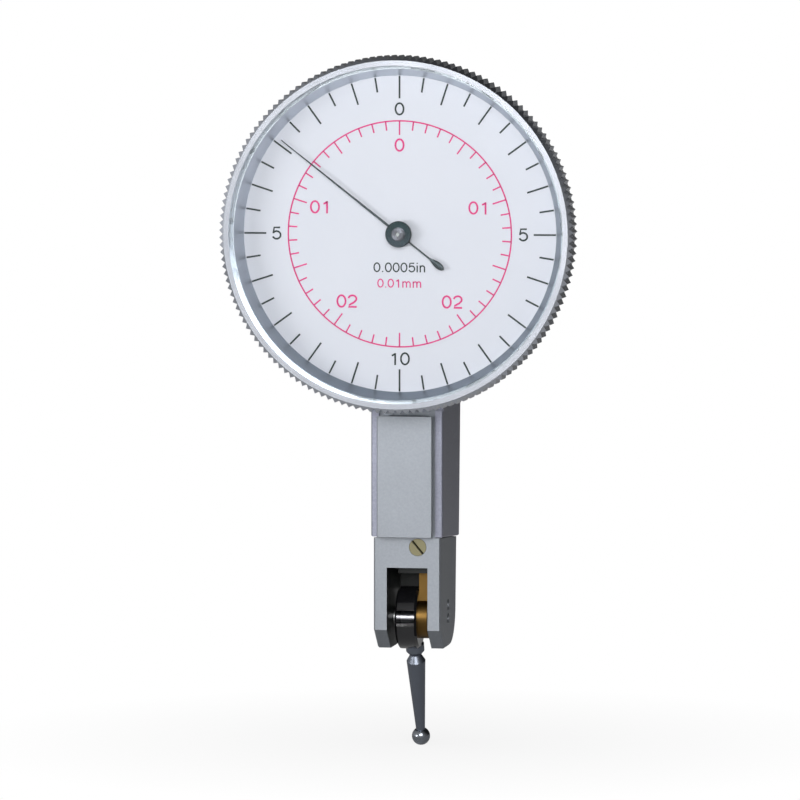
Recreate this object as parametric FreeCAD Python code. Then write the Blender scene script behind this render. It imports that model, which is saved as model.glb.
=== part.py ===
import FreeCAD, Part

# Dial test indicator: knurled bezel and dial on a slim body with three dovetails, and a
# stylus that a friction clutch holds in the fork. A toothed lever turns a crown wheel,
# and the crown wheel turns the pointer.
# Frame: X right, Y back, Z up, millimetres. The origin is where the dial's axis (Y)
# meets the outer face of the rear dovetail.

import math
import os

Vector = FreeCAD.Vector

# ---------------------------------------------------------------- driving dimensions
RUNNING = 0.03          # radial clearance of a pivot or shaft in its bearing
SLIP = 0.05             # radial clearance of the turning bezel
GAP = 0.1               # clearance between neighbours that never touch

# body
DOVETAIL_WIDTH = 6.0
DOVETAIL_HEIGHT = 2.0
DOVETAIL_ANGLE = 60.0
DOVETAIL_BREAK = 0.08   # edge break along the dovetail's sharp edges
RING_WIDTH = 6.1        # of the frame between the two side covers
FRAME_TOP = 13.0        # above the dial axis
FRONT_WALL = 1.6
REAR_WALL = 1.8
TOP_WALL = 2.8
CAVITY_ABOVE_FORK = 1.4 # floor of the ring over the top of the fork
REAR_DOVETAIL_LENGTH = 24.0
FRONT_DOVETAIL_TOP = -19.7
FRONT_DOVETAIL_LENGTH = 13.0
TAPER_START = -18.0     # where the back of the body starts to slope forward
TAPER_SET_BACK = 1.8    # of the slope, at the end of the fork

# side covers
COVER_THICK = 0.85
COVER_STEP = 0.3        # front edge ahead of the groove beside the dovetail
COVER_NECK = -19.15     # below this the covers' front edge steps forward
COVER_BEVEL = 0.25
SHOULDER_DROP = 0.8     # of the covers' lower ends, from front to back
COVER_SCREW_RADIUS = 0.6
COVER_SCREW_HEAD = 1.0
COVER_SCREW_REACH = 1.7
COVER_BOSS_RADIUS = 1.3
COVER_BOSS_DROP = 14.5  # the lower screw of a cover, below the dial axis

# fork
FORK_WIDTH = 7.28
FORK_TOP = -32.9
FORK_STEP = 0.2         # fork face ahead of the groove beside the dovetail
FORK_BEYOND_PIVOT = 3.1
FORK_CHAMFER_HEIGHT = 2.2
FORK_CHAMFER_DEPTH = 2.7
FORK_REAR_RADIUS = 4.0
FORK_EDGE = 0.15
SLOT_WIDTH = 4.44
SLOT_ABOVE_PIVOT = 5.85
REAR_SLOT_ABOVE_PIVOT = 2.7
SKIN_DEPTH = 2.6        # from the fork's face back to the web over the slot
WEB_DROP = 0.8          # web's lower edge under the top of the slot
WEB_LEFT = -1.4
ACCESS_RADIUS = 0.62    # clutch access hole in the right ear
ACCESS_ABOVE_PIVOT = 1.45

# gear train
PIVOT_AHEAD = 0.8       # of the lever's pivot, ahead of the crown wheel's arbor
CROWN_ROOM = 0.15       # round the crown wheel in the ring
CROWN_RIM = 0.15        # of the crown wheel outside its pitch circle
CROWN_FACE_WIDTH = 0.35
CROWN_RIM_WIDTH = 0.4   # of the plain rim inside the teeth
CROWN_RIM_THICK = 0.55
CROWN_WEB_THICK = 0.35
CROWN_HUB_RADIUS = 1.0
CROWN_HUB_LENGTH = 0.6
SECTOR_MODULE = 0.25
SECTOR_CIRCLE_TEETH = 324
SECTOR_TEETH = 7
DRIVEN_TEETH = 12
CROWN_MODULE = 0.13
CROWN_TEETH = 60
CENTRE_TEETH = 9
PRESSURE_ANGLE = 20.0
BACKLASH = 0.06         # taken off each tooth of the sector pair, on the pitch line
FINE_BACKLASH = 0.04    # the same for the crown pair

# lever and its pivot
LEVER_LEFT = 0.65
LEVER_THICK = 1.0
LEVER_DISC_RADIUS = 2.26
LEVER_FOOT_WIDTH = 2.5
LEVER_HEAD_WIDTH = 1.7
LEVER_HEAD_HEIGHT = 2.2 # of the toothed head, down to the arm
LEVER_SWING = 1.5       # degrees each way
AXLE_RADIUS = 0.45
AXLE_CONE = 0.35
BEARING_SCREW_RADIUS = 0.55
BEARING_SCREW_DEPTH = 0.95
NUT_RADIUS = 1.25
NUT_THICK = 0.3
WASHER_THICK = 0.15

# stylus
STYLUS_TILT = 21.4      # degrees back from straight down
STYLUS_X = -0.2
STYLUS_LENGTH = 14.55   # pivot to the centre of the ball
BALL_RADIUS = 1.0
BALL_SEAT = 0.8         # from the ball's centre to the flat that the shank meets
DRUM_RADIUS = 3.4
DRUM_LEFT = -1.7
DRUM_FLANK_X = -1.32
DRUM_FLANK_START = 1.2
DRUM_EDGE = 0.25
DRUM_SPOT_FACE = 0.2    # depth of the flat that the stylus's collar seats on
NOTCH_HEIGHT = 1.8
NOTCH_RISE = 4.0        # of the notch's floor, above straight ahead
NOTCH_SIDE = 0.22       # thickness of the cheek on each side of the notch
SLEEVE_RADIUS = 0.68
SLEEVE_FLANGE = 0.84
SLEEVE_FLANGE_THICK = 0.22
THREAD_RADIUS = 0.5
THREAD_LENGTH = 1.9
COLLAR_RADIUS = 1.0
COLLAR_LENGTH = 0.82
NECK_RADIUS = 0.6
NECK_LENGTH = 0.5       # from the collar to the bottom of the groove
SHOULDER_RADIUS = 1.03
SHOULDER_LENGTH = 0.75  # from the bottom of the groove to the shoulder
SHANK_END_RADIUS = 0.49

# travel stop screw in the fork's face
STOP_RADIUS = 0.92
STOP_HEAD_THICK = 0.6
STOP_SHANK_RADIUS = 0.5
STOP_SLOT = 0.22
STOP_SLOT_ANGLE = 50.0
STOP_BELOW_FORK_TOP = 1.0

# dial base and bezel
BASE_THICK = 1.6
BASE_SCREW_Z = 8.5
BASE_SCREW_RADIUS = 0.5
BASE_SCREW_HEAD = 0.95
BASE_SCREW_REACH = 1.2
RIM_THICK = 1.0
RIM_HEIGHT = 4.4
KNURL_RADIUS = 19.05
BEZEL_WALL = 2.0        # from the tips of the knurl to the bore
KNURL_TEETH = 152
KNURL_DEPTH = 0.46
KNURL_WIDTH = 2.9
KNURL_CHAMFER = 0.55
SKIRT_STEP = 0.85       # of the skirt under the tips of the knurl
SKIRT_GAP = 0.6         # from the frame's front to the bezel's rear edge
DIAL_GAP = 0.2
DIAL_THICK = 0.5
DIAL_HOLE = 1.0
DIAL_LEDGE = 0.2        # of the sloping wall over the edge of the dial
WALL_SLOPE = 0.75       # outward, from the dial to the crystal
WALL_HEIGHT = 1.85
CRYSTAL_LEDGE = 0.35    # that the crystal seats on
CRYSTAL_THICK = 1.0
LIP_HEIGHT = 0.25
KEEPER_THICK = 0.3
KEEPER_SPAN = 0.3       # reach of the keeper ring into the rim and into the bezel
KEEPER_AT = 2.1         # ahead of the frame's front
KEEPER_MOUTH = 24.0     # degrees left open between the keeper's ends

# pointer
POINTER_SHORT = 0.75    # from the hand's tip to the sloping wall
POINTER_ANGLE = 52.0    # anticlockwise from the top of the dial
POINTER_THICK = 0.15
POINTER_ROOT = 0.26
POINTER_TIP = 0.12
TAIL_LENGTH = 6.2
TAIL_LEAF = 1.95
TAIL_WIDTH = 0.64
HUB_RADIUS = 1.4
HUB_THICK = 0.4
HUB_BOSS_RADIUS = 0.7
HUB_BOSS_HEIGHT = 0.45
HUB_ABOVE_DIAL = 0.4
ARBOR_RADIUS = 0.35
PIVOT_RADIUS = 0.15
ARBOR_RECESS = 0.15

# bearings and bridge
JEWEL_RADIUS = 0.75
SMALL_JEWEL_RADIUS = 0.45
JEWEL_THICK = 0.5
BRIDGE_THICK = 0.8
BRIDGE_LEFT = -0.35
BRIDGE_RIGHT = 2.6
BRIDGE_TIP = -0.62
BRIDGE_FOOT = (1.2, 4.3)
BRIDGE_FOOT_THICK = 1.7
BRIDGE_HALF_HEIGHT = 0.75
BRIDGE_SCREW_RADIUS = 0.4
BRIDGE_SCREW_HEAD = 0.75
BRIDGE_SCREW_REACH = 1.2

# hairspring
SPRING_INNER = 0.98
SPRING_OUTER = 4.3
SPRING_TURNS = 4.0
SPRING_SIDES = 16       # straight lengths in each turn
SPRING_AT = 1.2         # ahead of the dial base
SPRING_THICK = 0.07
SPRING_HEIGHT = 0.3
COLLET_RADIUS = 0.9
COLLET_HEIGHT = 0.8
STUD_RADIUS = 0.35
STUD_SEAT = 0.8

# ---------------------------------------------------------------- derived places
SECTOR_RADIUS = SECTOR_MODULE * SECTOR_CIRCLE_TEETH / 2
DRIVEN_RADIUS = SECTOR_MODULE * DRIVEN_TEETH / 2
CROWN_RADIUS = CROWN_MODULE * CROWN_TEETH / 2
CENTRE_RADIUS = CROWN_MODULE * CENTRE_TEETH / 2
CROWN_OUTER = CROWN_RADIUS + CROWN_RIM
BODY_DEPTH = FRONT_WALL + REAR_WALL + 2 * (CROWN_OUTER + CROWN_ROOM)
BACK_Y = -DOVETAIL_HEIGHT
FRONT_Y = BACK_Y - BODY_DEPTH
FORK_Y = FRONT_Y - FORK_STEP
HALF_RING = RING_WIDTH / 2
HALF_BODY = HALF_RING + COVER_THICK
CROWN_Y = BACK_Y - REAR_WALL - CROWN_ROOM - CROWN_OUTER
PIVOT_Y = CROWN_Y - PIVOT_AHEAD
PIVOT_Z = -math.sqrt((SECTOR_RADIUS + DRIVEN_RADIUS) ** 2 - (CROWN_Y - PIVOT_Y) ** 2)
LEVER_LEAN = -math.degrees(math.atan2(CROWN_Y - PIVOT_Y, -PIVOT_Z))
FORK_END = PIVOT_Z - FORK_BEYOND_PIVOT
SLOT_TOP = PIVOT_Z + SLOT_ABOVE_PIVOT
FRONT_DOVETAIL_END = FRONT_DOVETAIL_TOP - FRONT_DOVETAIL_LENGTH
LEVER_RIGHT = LEVER_LEFT + LEVER_THICK
COLLAR_SEAT = DRUM_RADIUS - DRUM_SPOT_FACE
COLLAR_END = COLLAR_SEAT + COLLAR_LENGTH
NECK_AT = COLLAR_END + NECK_LENGTH
SHOULDER_AT = NECK_AT + SHOULDER_LENGTH
CAVITY_FRONT = FRONT_Y + FRONT_WALL
CAVITY_BACK = BACK_Y - REAR_WALL
CAVITY_END = FORK_TOP + CAVITY_ABOVE_FORK
BASE_FRONT = FRONT_Y - BASE_THICK
RIM_FRONT = FRONT_Y - RIM_HEIGHT
DIAL_BACK = RIM_FRONT - DIAL_GAP
DIAL_FRONT = DIAL_BACK - DIAL_THICK
CRYSTAL_BACK = DIAL_FRONT - WALL_HEIGHT
CRYSTAL_FRONT = CRYSTAL_BACK - CRYSTAL_THICK
BEZEL_FRONT = CRYSTAL_FRONT - LIP_HEIGHT
BEZEL_BORE = KNURL_RADIUS - BEZEL_WALL
RIM_RADIUS = BEZEL_BORE - SLIP
SKIRT_RADIUS = KNURL_RADIUS - SKIRT_STEP
WALL_INNER_RADIUS = BEZEL_BORE - DIAL_LEDGE
WALL_OUTER_RADIUS = WALL_INNER_RADIUS + WALL_SLOPE
CRYSTAL_RADIUS = WALL_OUTER_RADIUS + CRYSTAL_LEDGE
POINTER_LENGTH = WALL_INNER_RADIUS - POINTER_SHORT
POINTER_BACK = DIAL_FRONT - HUB_ABOVE_DIAL
HUB_BACK = POINTER_BACK - POINTER_THICK
HUB_FRONT = HUB_BACK - HUB_THICK
BOSS_FRONT = HUB_FRONT - HUB_BOSS_HEIGHT
PINION_FRONT = CAVITY_FRONT + GAP
PINION_BACK = PINION_FRONT + CROWN_FACE_WIDTH + 2 * GAP
BRIDGE_FRONT = PINION_BACK + 2.5 * GAP
BRIDGE_BACK = BRIDGE_FRONT + BRIDGE_THICK
CROWN_FACE = -CENTRE_RADIUS
CROWN_DEDENDUM = 1.3 * CROWN_MODULE
SPRING_BACK = BASE_FRONT - SPRING_AT
SPRING_FRONT = SPRING_BACK - SPRING_HEIGHT


# ---------------------------------------------------------------- shape helpers
def box(x, y, z):
    """A box between three pairs of limits."""
    size = (x[1] - x[0], y[1] - y[0], z[1] - z[0])
    return Part.makeBox(*size, Vector(x[0], y[0], z[0]))


def rod_x(radius, x, y, z):
    """A round bar along X between the limits x."""
    return Part.makeCylinder(radius, x[1] - x[0], Vector(x[0], y, z), Vector(1, 0, 0))


def rod_y(radius, y, x=0.0, z=0.0):
    """A round bar along Y between the limits y."""
    return Part.makeCylinder(radius, y[1] - y[0], Vector(x, y[0], z), Vector(0, 1, 0))


def rod_z(radius, z, x=0.0, y=0.0):
    """A round bar along Z between the limits z."""
    return Part.makeCylinder(radius, z[1] - z[0], Vector(x, y, z[0]), Vector(0, 0, 1))


def turned_y(corners):
    """A part turned about the dial's axis, from its (radius, y) corners."""
    points = [Vector(radius, y, 0) for radius, y in corners]
    face = Part.Face(Part.makePolygon(points + points[:1]))
    return face.revolve(Vector(0, 0, 0), Vector(0, 1, 0), 360)


def turned_x(corners, y, z):
    """A part turned about an X axis through (y, z), from its (radius, x) corners."""
    points = [Vector(x, y + radius, z) for radius, x in corners]
    face = Part.Face(Part.makePolygon(points + points[:1]))
    return face.revolve(Vector(0, y, z), Vector(1, 0, 0), 360)


def turned_z(corners):
    """A part turned about Z, from its (radius, z) corners."""
    points = [Vector(radius, 0, z) for radius, z in corners]
    face = Part.Face(Part.makePolygon(points + points[:1]))
    return face.revolve(Vector(0, 0, 0), Vector(0, 0, 1), 360)


def rounded_wire(corners, place):
    """A closed outline of (a, b, radius) corners; place(a, b) gives each point."""
    pieces = []
    count = len(corners)
    for i, (a, b, radius) in enumerate(corners):
        here = Vector(a, b, 0)
        before = Vector(*corners[i - 1][:2], 0) - here
        after = Vector(*corners[(i + 1) % count][:2], 0) - here
        if radius == 0:
            pieces.append((here, here, here))
            continue
        before.normalize()
        after.normalize()
        half = before.getAngle(after) / 2
        reach = radius / math.tan(half)
        inward = (before + after).normalize()
        middle = here + inward * (radius / math.sin(half) - radius)
        pieces.append((here + before * reach, middle, here + after * reach))
    edges = []
    for i, (start, middle, end) in enumerate(pieces):
        points = [place(p.x, p.y) for p in (start, middle, end)]
        if (points[2] - points[0]).Length > 1e-6:
            edges.append(Part.Arc(*points).toShape())
        following = place(pieces[(i + 1) % count][0].x, pieces[(i + 1) % count][0].y)
        edges.append(Part.makeLine(points[2], following))
    return Part.Wire(edges)


def slab_x(corners, x):
    """A plate across X between the limits x, outlined by (y, z, radius) corners."""
    wire = rounded_wire(corners, lambda a, b: Vector(x[0], a, b))
    return Part.Face(wire).extrude(Vector(x[1] - x[0], 0, 0))


def slab_y(corners, y):
    """A plate across Y between the limits y, outlined by (x, z, radius) corners."""
    wire = rounded_wire(corners, lambda a, b: Vector(a, y[0], b))
    return Part.Face(wire).extrude(Vector(0, y[1] - y[0], 0))


def polygon_x(points, x):
    """A plate across X between the limits x, from sharp (y, z) points."""
    corners = [Vector(x[0], a, b) for a, b in points]
    face = Part.Face(Part.makePolygon(corners + corners[:1]))
    return face.extrude(Vector(x[1] - x[0], 0, 0))


def polygon_y(points, y):
    """A plate across Y between the limits y, from sharp (x, z) points."""
    corners = [Vector(a, y[0], b) for a, b in points]
    face = Part.Face(Part.makePolygon(corners + corners[:1]))
    return face.extrude(Vector(0, y[1] - y[0], 0))


def sunk_screw(radius, head, length):
    """A countersunk screw along +Y from its slotted head at the origin."""
    depth = head - radius
    corners = [(0, 0), (head, 0), (radius, depth), (radius, length), (0, length)]
    screw = turned_y(corners)
    slot = box((-head, head), (-GAP, depth * 0.6), (-head / 8, head / 8))
    return screw.cut(slot)


def screw_hole(radius, head, length):
    """The space that a sunk_screw fills."""
    depth = head - radius
    corners = [(0, 0), (head, 0), (radius, depth), (radius, length), (0, length)]
    return turned_y(corners)


def involute(angle):
    return math.tan(angle) - angle


def gear_outline(module, teeth, backlash, addendum=1.0):
    """(a, b) points of an involute gear, with one tooth gap centred on +a."""
    pressure = math.radians(PRESSURE_ANGLE)
    pitch = module * teeth / 2
    base = pitch * math.cos(pressure)
    tip = pitch + addendum * module
    root = pitch - 1.2 * module
    thickness = math.pi * module / 2 - backlash
    half_at_base = thickness / (2 * pitch) + involute(pressure)
    flank = [(root, half_at_base)]
    for share in (0.0, 0.5, 1.0):
        radius = base + (tip - base) * share
        roll = math.acos(min(1.0, base / radius))
        flank.append((radius, half_at_base - involute(roll)))
    points = []
    for tooth in range(teeth):
        centre = (tooth + 0.5) * 2 * math.pi / teeth
        rising = [(radius, centre - half) for radius, half in flank]
        falling = [(radius, centre + half) for radius, half in reversed(flank)]
        points += [(r * math.cos(t), r * math.sin(t)) for r, t in rising + falling]
    return points


def about_x(shape, angle, y, z):
    """Turn a shape about the X axis through (y, z)."""
    shape.rotate(Vector(0, y, z), Vector(1, 0, 0), angle)
    return shape


# ---------------------------------------------------------------- frame and covers
def dovetail_outline():
    """Half-width and height corners of a dovetail that stands on the plane height 0."""
    wide = DOVETAIL_WIDTH / 2
    narrow = wide - DOVETAIL_HEIGHT / math.tan(math.radians(DOVETAIL_ANGLE))
    top = DOVETAIL_HEIGHT
    edge = DOVETAIL_BREAK
    right = [(narrow, -GAP), (narrow, 0), (wide, top - edge), (wide - edge, top)]
    return right + [(-across, up) for across, up in reversed(right)]


def rear_line(z):
    """The y of the body's back at the height z: straight, then sloping forward."""
    slope = TAPER_SET_BACK / (TAPER_START - FORK_END)
    return BACK_Y - max(0.0, TAPER_START - z) * slope


def cover_screw_places():
    """(y, z) of the two screws of a side cover: in the top wall and in a rear boss."""
    top = FRAME_TOP - TOP_WALL / 2
    back = CAVITY_BACK + REAR_WALL / 8
    return [(CROWN_Y, top), (back, -COVER_BOSS_DROP)]


def dovetails():
    """The front, rear and top dovetails."""
    outline = dovetail_outline()
    front = [Vector(a, FRONT_Y - h, FRONT_DOVETAIL_END) for a, h in outline]
    rear_end = -REAR_DOVETAIL_LENGTH / 2
    rear = [Vector(a, BACK_Y + h, rear_end) for a, h in outline]
    top = [Vector(a, FRONT_Y, FRAME_TOP + h) for a, h in outline]
    solids = []
    for points, run in (
        (front, Vector(0, 0, FRONT_DOVETAIL_LENGTH)),
        (rear, Vector(0, 0, REAR_DOVETAIL_LENGTH)),
        (top, Vector(0, BODY_DEPTH, 0)),
    ):
        face = Part.Face(Part.makePolygon(points + points[:1]))
        solids.append(face.extrude(run))
    return solids


def upper_body():
    """The ring round the gear train, open to both sides until the covers close it."""
    outside = [
        (BACK_Y, FRAME_TOP, 0.6),
        (FRONT_Y, FRAME_TOP, 0.6),
        (FRONT_Y, FORK_TOP, 0),
        (rear_line(FORK_TOP), FORK_TOP, 0),
        (BACK_Y, TAPER_START, 0),
    ]
    wall_end = rear_line(CAVITY_END) - REAR_WALL
    inside = [
        (CAVITY_BACK, FRAME_TOP - TOP_WALL, 1.0),
        (CAVITY_FRONT, FRAME_TOP - TOP_WALL, 1.0),
        (CAVITY_FRONT, CAVITY_END, 1.0),
        (wall_end, CAVITY_END, 1.0),
        (CAVITY_BACK, TAPER_START, 0),
    ]
    width = (-HALF_RING, HALF_RING)
    ring = slab_x(outside, width).cut(slab_x(inside, width))
    whole = slab_x(outside, width)
    bosses = [
        rod_x(COVER_BOSS_RADIUS, width, y, z).common(whole)
        for y, z in cover_screw_places()[1:]
    ]
    return ring.multiFuse(bosses)


def fork():
    """The fork block with its chamfered front corner and rounded rear corner."""
    outline = [
        (FORK_Y, FORK_TOP, 0),
        (rear_line(FORK_TOP), FORK_TOP, 0),
        (rear_line(FORK_END), FORK_END, FORK_REAR_RADIUS),
        (FORK_Y + FORK_CHAMFER_DEPTH, FORK_END, 0.3),
        (FORK_Y, FORK_END + FORK_CHAMFER_HEIGHT, 0),
    ]
    half = FORK_WIDTH / 2
    block = slab_x(outline, (-half, half))
    lower = [
        edge
        for edge in block.Edges
        if edge.BoundBox.XLength < 1e-6 and edge.BoundBox.ZMin < FORK_TOP - GAP
    ]
    return block.makeChamfer(FORK_EDGE, lower)


def shoulder(y):
    """z of the fork's shoulders, on which the covers end, at y."""
    return FORK_TOP - SHOULDER_DROP * (y - FORK_Y) / (BACK_Y - FORK_Y)


def shoulder_cuts():
    """Wedges that slope the two shoulders of the fork."""
    above = FORK_TOP + GAP
    ends = (FORK_Y - GAP, BACK_Y + GAP)
    corners = [(y, shoulder(y)) for y in ends] + [(y, above) for y in ends[::-1]]
    wedges = []
    for side in (-1, 1):
        reach = sorted((side * HALF_RING, side * (FORK_WIDTH / 2 + GAP)))
        wedges.append(polygon_x(corners, reach))
    return wedges


def fork_slot():
    """The slot for the clutch and stylus, open to the front, below and behind."""
    half = SLOT_WIDTH / 2
    below = FORK_END - GAP
    skin = FORK_Y + SKIN_DEPTH
    rear = rear_line(SLOT_TOP) - REAR_WALL
    main = box((-half, half), (FORK_Y - GAP, rear), (below, SLOT_TOP))
    web = box((WEB_LEFT, half), (skin, rear), (SLOT_TOP - WEB_DROP, SLOT_TOP))
    swing = PIVOT_Z + REAR_SLOT_ABOVE_PIVOT
    behind = box((-half, half), (rear - GAP, 0), (below, swing))
    return main.cut(web).fuse(behind)


def lever_channel():
    """The passage of the lever from the slot up into the ring."""
    side = (LEVER_LEFT - 2 * GAP, LEVER_RIGHT + 2 * GAP)
    reach = LEVER_FOOT_WIDTH / 2 + 4 * GAP
    low = SLOT_TOP - WEB_DROP - GAP
    high = CAVITY_END + 2 * GAP
    channel = box(side, (PIVOT_Y - reach, PIVOT_Y + reach), (low, high))
    return about_x(channel, LEVER_LEAN, PIVOT_Y, PIVOT_Z)


def stop_place():
    """x, z of the travel stop screw: in line with the lever."""
    return (LEVER_LEFT + LEVER_RIGHT) / 2, FORK_TOP - STOP_BELOW_FORK_TOP


def stop_tip():
    """y of the stop screw's tip: just clear of the lever at the end of its swing."""
    above = stop_place()[1] - PIVOT_Z
    centre = PIVOT_Y + above * math.tan(-math.radians(LEVER_LEAN))
    swing = above * math.radians(LEVER_SWING)
    return centre - lever_half_width(above) - swing - GAP / 2


def main_frame():
    """Ring, fork and dovetails in one piece, with the bores of everything it carries."""
    frame = upper_body().multiFuse([fork()] + dovetails())
    frame = frame.cut(fork_slot()).cut(lever_channel())
    half = FORK_WIDTH / 2
    cuts = shoulder_cuts()
    cuts.append(rod_y(ARBOR_RADIUS + 4 * GAP, (FRONT_Y - GAP, CAVITY_FRONT + GAP)))
    for side in (-1, 1):
        ends = sorted((side * (SLOT_WIDTH / 2 - GAP), side * (half + GAP)))
        cuts.append(rod_x(BEARING_SCREW_RADIUS, ends, PIVOT_Y, PIVOT_Z))
    access = (SLOT_WIDTH / 2 - GAP, half + GAP)
    cuts.append(rod_x(ACCESS_RADIUS, access, PIVOT_Y, PIVOT_Z + ACCESS_ABOVE_PIVOT))
    x, z = stop_place()
    cuts.append(rod_y(STOP_RADIUS + RUNNING, (FORK_Y - GAP, FORK_Y + STOP_HEAD_THICK), x, z))
    cuts.append(rod_y(STOP_SHANK_RADIUS, (FORK_Y, stop_tip() + GAP), x, z))
    for x, z in base_screw_places():
        reach = (FRONT_Y - GAP, FRONT_Y + BASE_SCREW_REACH)
        cuts.append(rod_y(BASE_SCREW_RADIUS, reach, x, z))
    hole = screw_hole(BRIDGE_SCREW_RADIUS, BRIDGE_SCREW_HEAD, FRONT_WALL + GAP)
    x, z = bridge_screw_place()
    hole.translate(Vector(x, FRONT_Y, z))
    cuts.append(hole)
    for y, z in cover_screw_places():
        for side in (-1, 1):
            ends = sorted((side * HALF_RING, side * (HALF_RING - COVER_SCREW_REACH)))
            cuts.append(rod_x(COVER_SCREW_RADIUS, ends, y, z))
    return frame.cut(Part.makeCompound(cuts))


def side_cover(side):
    """One of the two plates that close the ring; side is -1 for left, 1 for right."""
    step = FRONT_Y - COVER_STEP
    rear = rear_line(FORK_TOP)
    outline = [
        (BACK_Y, FRAME_TOP, 0.6),
        (FRONT_Y, FRAME_TOP, 0.6),
        (FRONT_Y, COVER_NECK, 0),
        (step, COVER_NECK, 0),
        (step, shoulder(step) + GAP, 0),
        (rear, shoulder(rear) + GAP, 0),
        (BACK_Y, TAPER_START, 0),
    ]
    plate = slab_x(outline, sorted((side * HALF_RING, side * HALF_BODY)))
    outer = [
        edge
        for edge in plate.Edges
        if abs(edge.CenterOfMass.x - side * HALF_BODY) < 1e-6
        and (edge.BoundBox.ZMax < COVER_NECK + 1e-6)
        and (edge.BoundBox.YMin < step + 1e-6)
    ]
    plate = plate.makeChamfer(COVER_BEVEL / 2, outer)
    pocket = sorted((side * HALF_RING, side * (HALF_RING + JEWEL_THICK)))
    plate = plate.cut(rod_x(JEWEL_RADIUS, pocket, CROWN_Y, 0))
    for y, z in cover_screw_places():
        plate = plate.cut(cover_screw_space(side, y, z))
    return plate


def turn_to_side(shape, side):
    """Turn a screw that runs along +Y so that it runs in from the side cover's face."""
    shape.rotate(Vector(0, 0, 0), Vector(0, 0, 1), 90 * side)
    return shape


def cover_screw_space(side, y, z):
    length = COVER_THICK + COVER_SCREW_REACH
    hole = screw_hole(COVER_SCREW_RADIUS, COVER_SCREW_HEAD, length)
    hole = turn_to_side(hole, side)
    hole.translate(Vector(side * HALF_BODY, y, z))
    return hole


def side_cover_screws():
    screws = []
    for side in (-1, 1):
        for y, z in cover_screw_places():
            length = COVER_THICK + COVER_SCREW_REACH
            screw = sunk_screw(COVER_SCREW_RADIUS, COVER_SCREW_HEAD, length)
            screw = turn_to_side(screw, side)
            screw.translate(Vector(side * HALF_BODY, y, z))
            screws.append(screw)
    return Part.makeCompound(screws)


def travel_stop_screw():
    """Slotted brass screw in the fork's face; its tip limits the lever."""
    x, z = stop_place()
    head = rod_y(STOP_RADIUS, (FORK_Y, FORK_Y + STOP_HEAD_THICK), x, z)
    shank = rod_y(STOP_SHANK_RADIUS, (FORK_Y + STOP_HEAD_THICK, stop_tip()), x, z)
    reach = STOP_RADIUS + GAP
    half = STOP_SLOT / 2
    slot = box((x - reach, x + reach), (FORK_Y - GAP, FORK_Y + 0.35), (z - half, z + half))
    slot.rotate(Vector(x, 0, z), Vector(0, 1, 0), STOP_SLOT_ANGLE)
    return head.fuse(shank).cut(slot)


# ---------------------------------------------------------------- clutch and lever
def lever_half_width(above):
    """Half the arm's width at a distance above the pivot."""
    share = above / SECTOR_RADIUS
    return (LEVER_FOOT_WIDTH + (LEVER_HEAD_WIDTH - LEVER_FOOT_WIDTH) * share) / 2


def sector_points():
    """(y, z) points of the toothed head, about the pivot, with the arm along +z."""
    slope = math.tan(math.radians(PRESSURE_ANGLE))
    half = (math.pi * SECTOR_MODULE / 2 - BACKLASH) / 2
    addendum = 0.68 * SECTOR_MODULE
    dedendum = 1.2 * SECTOR_MODULE
    levels = [
        (SECTOR_RADIUS - dedendum, half + dedendum * slope),
        (SECTOR_RADIUS + addendum, half - addendum * slope),
    ]
    step = 2 * math.pi / SECTOR_CIRCLE_TEETH
    points = []
    for index in range(SECTOR_TEETH):
        centre = (index - (SECTOR_TEETH - 1) / 2) * step
        for radius, width in levels + levels[::-1]:
            sign = -1 if len(points) % 4 < 2 else 1
            angle = centre + sign * width / SECTOR_RADIUS
            points.append((radius * math.sin(angle), radius * math.cos(angle)))
    return points


def transmission_lever():
    """Brass lever: friction disc at the pivot, long arm, toothed sector on top."""
    teeth = sector_points()
    shoulder = SECTOR_RADIUS - LEVER_HEAD_HEIGHT
    neck = lever_half_width(shoulder)
    foot = lever_half_width(0)
    edge = teeth[-1][0] + GAP
    head = [(-edge, shoulder + 1), (-neck, shoulder - 1), (-foot, 0), (foot, 0)]
    head += [(neck, shoulder - 1), (edge, shoulder + 1)]
    x = (LEVER_LEFT, LEVER_RIGHT)
    points = [(PIVOT_Y + a, PIVOT_Z + b) for a, b in head + teeth[::-1]]
    arm = polygon_x(points, x)
    disc = rod_x(LEVER_DISC_RADIUS, x, PIVOT_Y, PIVOT_Z)
    lever = arm.fuse(disc).cut(rod_x(AXLE_RADIUS, x, PIVOT_Y, PIVOT_Z))
    return about_x(lever.removeSplitter(), LEVER_LEAN, PIVOT_Y, PIVOT_Z)


def axle_limits():
    end = SLOT_WIDTH / 2 + AXLE_CONE - RUNNING
    return -end, end


def pivot_axle():
    """Axle with pointed ends, which turns in the cups of the two bearing screws."""
    left, right = axle_limits()
    corners = [(0, left), (AXLE_RADIUS, left + AXLE_RADIUS)]
    corners += [(AXLE_RADIUS, right - AXLE_RADIUS), (0, right)]
    return turned_x(corners, PIVOT_Y, PIVOT_Z)


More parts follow.
